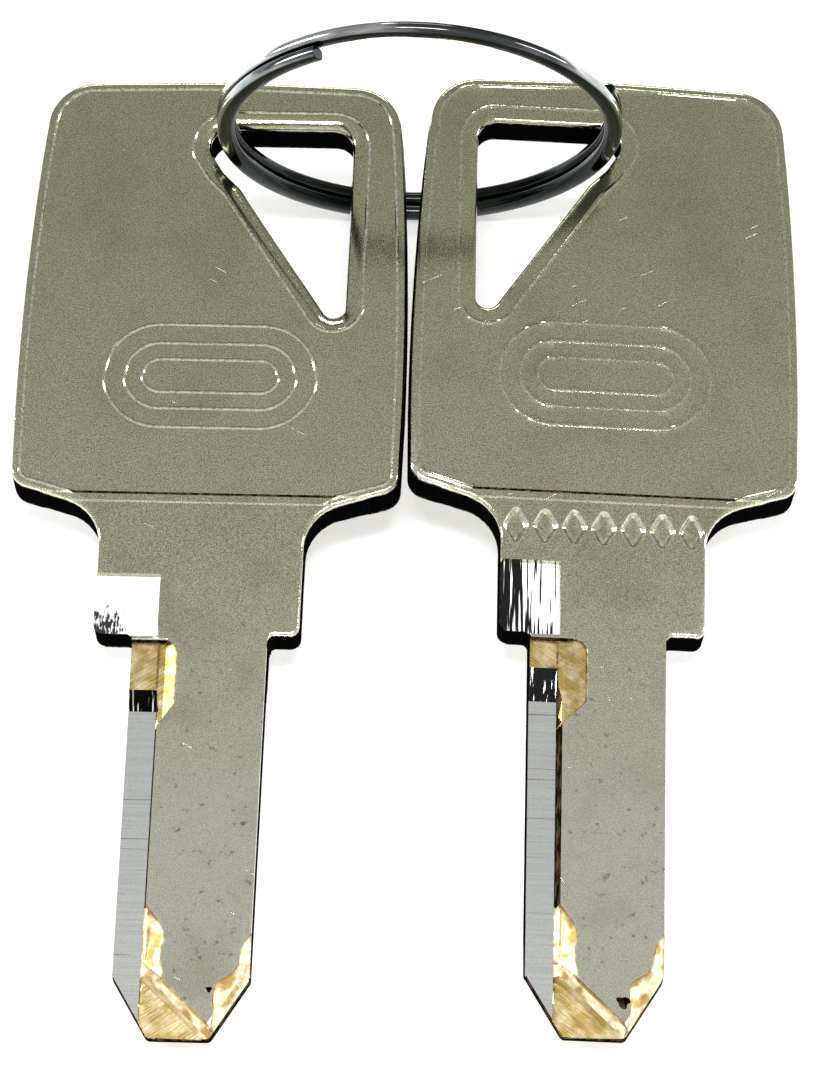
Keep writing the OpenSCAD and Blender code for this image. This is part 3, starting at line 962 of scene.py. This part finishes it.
def streaked(name, base, streak, streak_range, size, length, roughness, more=0.0, shades=()):
    """Freshly cut metal with tool streaks along the key.

    Streaks get denser by more where every shade, from sparse to dense along an axis, is at its end: painted
    shade, darker toward one side or corner of the cut.
    """
    metal = Metal(name)
    streaks = metal.noise(size, (1, length, length), 2)
    for axis, sparse, dense in shades:
        more = metal.times(metal.ramp(metal.axis(axis), sparse, dense), more)
    if shades:
        streaks = metal.plus(streaks, more)
    colour = metal.mix(metal.ramp(streaks, *streak_range), base, streak)
    return metal.finish(colour, roughness, ((streaks, 0.004),))


def ledge_plate():
    """The milled ledge: pale, with faint marks across it."""
    metal = Metal("ledge_plate")
    marks = metal.noise(0.09, (60, 1, 60), 2)
    lines = metal.ramp(metal.noise(0.16, (70, 1, 70), 0), 0.76, 0.8)
    grain = metal.noise(0.12, detail=1)
    colour = metal.mix(metal.ramp(marks, 0.35, 0.7, 0, 0.35), (0.78, 0.8, 0.765), (0.46, 0.48, 0.465))
    colour = metal.mix(metal.times(lines, 0.6), colour, (0.12, 0.11, 0.1))
    colour = metal.mix(metal.ramp(grain, 0.4, 0.7, 0, 0.16), colour, (0.2, 0.2, 0.2))
    colour = metal.mix(metal.spots(1.6, 0.14, 0.3), colour, (0.1, 0.1, 0.09))
    return metal.finish(colour, 0.18, ((marks, 0.001), (grain, 0.001)))


def groove_wall():
    """Steep walls, dents and lines, painted near black as shade, with brownish patches."""
    metal = Metal("groove_wall")
    metal.dull()
    brown_patches = metal.noise(0.3, (1, 3, 1), 3)
    # Near black: painted shade, with brownish patches
    colour = metal.mix(metal.ramp(brown_patches, 0.45, 0.7), (0.005, 0.004, 0.003), (0.1, 0.065, 0.025))
    return metal.finish(colour, 0.5)


def spring_steel():
    """Drawn spring steel, near black partly as dark steel and partly as painted shade, with lines along the
    wire and its outer face paler by wear and a painted highlight.
    """
    metal = Metal("ring_steel", "drawn")
    lines = metal.noise(0.09, (60, 1, 1), 2)
    cloud = metal.noise(1.5, (4, 1, 1), 3)
    # Near black: partly dark steel and partly painted shade
    colour = metal.mix(metal.ramp(cloud, 0.35, 0.7), (0.01, 0.012, 0.012), (0.035, 0.045, 0.043))
    colour = metal.mix(metal.ramp(lines, 0.6, 0.8, 0, 0.3), colour, (0.2, 0.2, 0.19))
    # The outer face paler: partly wear and partly a painted highlight
    highlight_and_wear = metal.times(metal.ramp(metal.axis("Z"), 0.00034, 0.00052), metal.ramp(cloud, 0.45, 0.62, 0.1, 1))
    colour = metal.mix(highlight_and_wear, colour, (0.6, 0.66, 0.66))
    return metal.finish(colour, metal.ramp(lines, 0.3, 0.7, 0.08, 0.16), ((lines, 0.002),))


# What each kind of surface on a key is made of
KEY_MATERIALS = {
    PLATED: satin_plate(),
    # The outer walls: painted shade
    WALL: dark_edge(),
    BRASS: milled_brass("bare_brass", (0.47, 0.34, 0.11), (0.76, 0.64, 0.38), (0.4, 0.62), 0.2, 1.0),
    # Pale brass on the tip's slopes: a painted highlight
    HIGHLIT_BRASS: milled_brass("highlit_brass", (0.95, 0.86, 0.6), (0.45, 0.29, 0.09), (0.44, 0.6), 0.35, 0.6),
    # Denser dark streaks toward one corner: painted shade
    NOTCH: streaked(
        "bright_notch", (0.8, 0.82, 0.8), (0.02, 0.03, 0.028), (0.66, 0.8), 0.16, 3, 0.5,
        0.32, (("X", -0.0038, -0.0048), ("Y", 0.0266, 0.0252))),
    # Denser dark streaks toward one side: painted shade
    WORN_NOTCH: streaked(
        "streaked_notch", (1.0, 1.0, 1.0), (0.01, 0.01, 0.01), (0.54, 0.6), 0.14, 30, 0.5,
        0.2, (("X", 0.0035, 0.0056),)),
    # Near black with light streaks: painted shade on the ramp
    RAMP: streaked("ramp_streaks", (0.003, 0.003, 0.003), (0.7, 0.7, 0.66), (0.6, 0.7), 0.14, 12, 0.2),
    LEDGE: ledge_plate(),
    # Steep walls, lines, the dent and the tip's bevel: painted shade
    GROOVE: groove_wall(),
}


def place(mesh, name, matrix, node, slot):
    """Makes a mesh a piece in its place, which rides on its node and replaces it. The slot is not used."""
    piece = bpy.data.objects.new(name, mesh)
    bpy.context.scene.collection.objects.link(piece)
    mesh.transform(matrix)
    # The widest faces at each point set its shading, and sharp edges stay sharp
    weigh = piece.modifiers.new("weigh", "WEIGHTED_NORMAL")
    weigh.keep_sharp = True
    weigh.weight = 100
    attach(piece, node)
    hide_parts(node)


key = key_mesh()
for kind in sorted(KEY_MATERIALS):
    key.materials.append(KEY_MATERIALS[kind])
for side in ("left", "right"):
    place(key.copy(), side + "_key", key_matrix(side), "key_" + side, "plated_brass")
ring = ring_mesh()
ring.materials.append(spring_steel())
ring_place = Matrix.Translation(ring_centre) @ Matrix.Rotation(math.radians(ring_lean), 4, "X")
place(ring, "split_ring_wire", ring_place, "split_ring", "ring_steel")

# ---------------------------------------------------------------- stage

FLOOR_HALF = 0.6
FLOOR_GREY = (0.7, 0.7, 0.7, 1)
FLOOR_GLOW = 0.45
WHITE = (1, 1, 1, 1)
# The sky's strength overhead, and its change from there to the far side along Y
SKY_MIDDLE = 0.62
SKY_SLOPE = -0.4
# Soft panels: each one's name, place, size and power
LIGHTS = (
    ("top_light", (0.0, -0.07, 0.6), (0.26, 0.1), 2.4),
    ("back_light", (0.0, 0.45, 0.42), (0.3, 0.08), 1.0),
    ("left_light", (-0.5, 0.12, 0.22), (0.05, 0.3), 1.2),
    ("right_light", (0.5, 0.1, 0.22), (0.05, 0.3), 1.2),
)


def make_floor():
    """A pale table that gives a little light of its own."""
    mesh = bpy.data.meshes.new("floor")
    corners = ((-1, -1), (1, -1), (1, 1), (-1, 1))
    mesh.from_pydata([(x * FLOOR_HALF, y * FLOOR_HALF, 0) for x, y in corners], [], [(0, 1, 2, 3)])
    material = bpy.data.materials.new("floor")
    material.use_nodes = True
    surface = material.node_tree.nodes["Principled BSDF"]
    surface.inputs["Base Color"].default_value = FLOOR_GREY
    surface.inputs["Roughness"].default_value = 0.8
    surface.inputs["Emission Color"].default_value = WHITE
    surface.inputs["Emission Strength"].default_value = FLOOR_GLOW
    mesh.materials.append(material)
    floor = bpy.data.objects.new("floor", mesh)
    bpy.context.scene.collection.objects.link(floor)


def make_light(name, place_at, size, power):
    """A rectangular panel that faces the keys."""
    data = bpy.data.lights.new(name, "AREA")
    data.shape = "RECTANGLE"
    data.size, data.size_y = size
    data.energy = power
    lamp = bpy.data.objects.new(name, data)
    lamp.location = place_at
    lamp.rotation_euler = Vector(place_at).to_track_quat("Z", "Y").to_euler()
    bpy.context.scene.collection.objects.link(lamp)


def make_sky():
    """Light from all round, brighter before the keys than behind them."""
    world = bpy.data.worlds.new("sky")
    bpy.context.scene.world = world
    world.use_nodes = True
    tree = world.node_tree
    place_in = tree.nodes.new("ShaderNodeTexCoord")
    split = tree.nodes.new("ShaderNodeSeparateXYZ")
    slope = tree.nodes.new("ShaderNodeMapRange")
    tree.links.new(place_in.outputs["Generated"], split.inputs[0])
    tree.links.new(split.outputs["Y"], slope.inputs["Value"])
    slope.inputs["From Min"].default_value = -1
    slope.inputs["To Min"].default_value = SKY_MIDDLE - SKY_SLOPE
    slope.inputs["To Max"].default_value = SKY_MIDDLE + SKY_SLOPE
    tree.links.new(slope.outputs[0], tree.nodes["Background"].inputs["Strength"])
    tree.nodes["Background"].inputs["Color"].default_value = WHITE


make_floor()
for light in LIGHTS:
    make_light(*light)
make_sky()
bpy.context.scene.view_settings.view_transform = "Standard"
